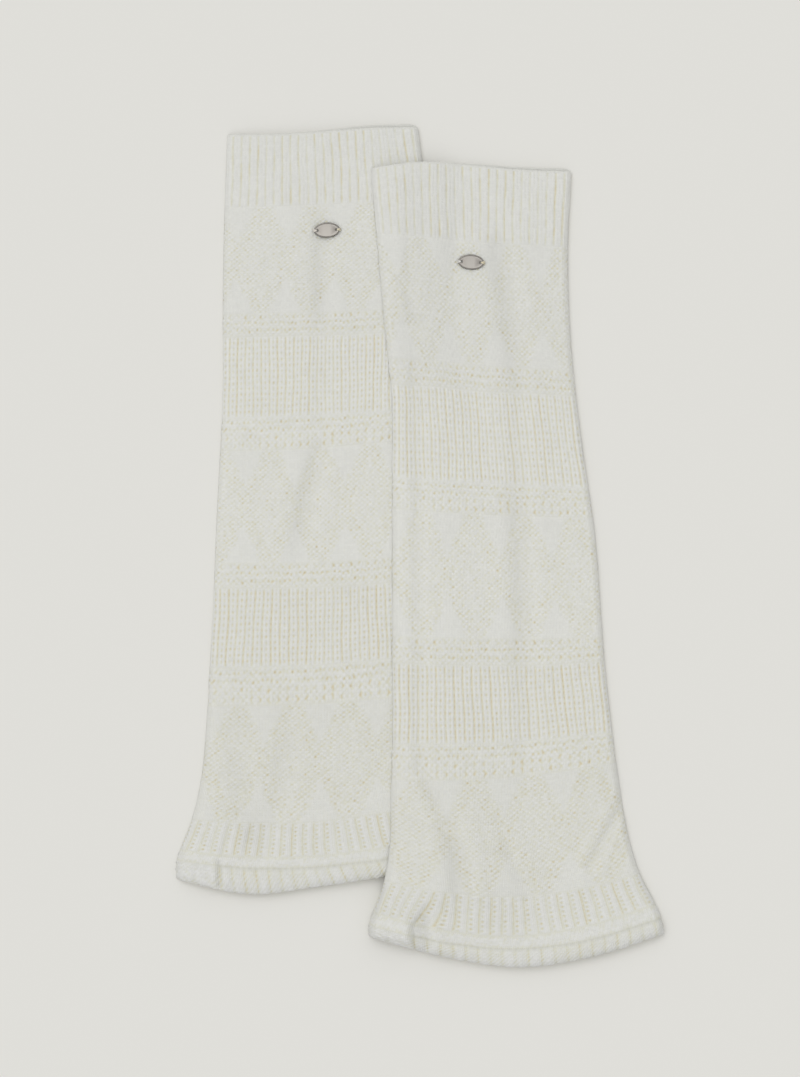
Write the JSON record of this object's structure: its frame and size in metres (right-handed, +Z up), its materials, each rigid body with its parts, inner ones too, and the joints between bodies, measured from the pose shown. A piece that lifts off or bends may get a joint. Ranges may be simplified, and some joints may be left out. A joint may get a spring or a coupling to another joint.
{
  "type": "pair of leg warmers",
  "caption": "Pair of knitted leg warmers laid flat, with ribbed cuffs, diamond and open-rib bands, flared hems and rolled edging.",
  "frame": {"origin": "on the surface that the pair lies on, under the middle of the pair's outline", "axes": "+Z up out of the surface, +Y along the leg warmers towards the cuffs, +X to the right"},
  "size_m": [0.2742, 0.4733, 0.0173],
  "materials": {
    "knit": "soft off-white rib knit, matt",
    "tag": "nickel-plated, satin"
  },
  "bodies": {
    "root": {"left_cuff": "knit", "left_leg": "knit", "left_hem": "knit", "left_edging": "knit", "left_tag": "tag", "right_cuff": "knit", "right_leg": "knit", "right_hem": "knit", "right_edging": "knit", "right_tag": "tag"}
  },
  "joints": []
}
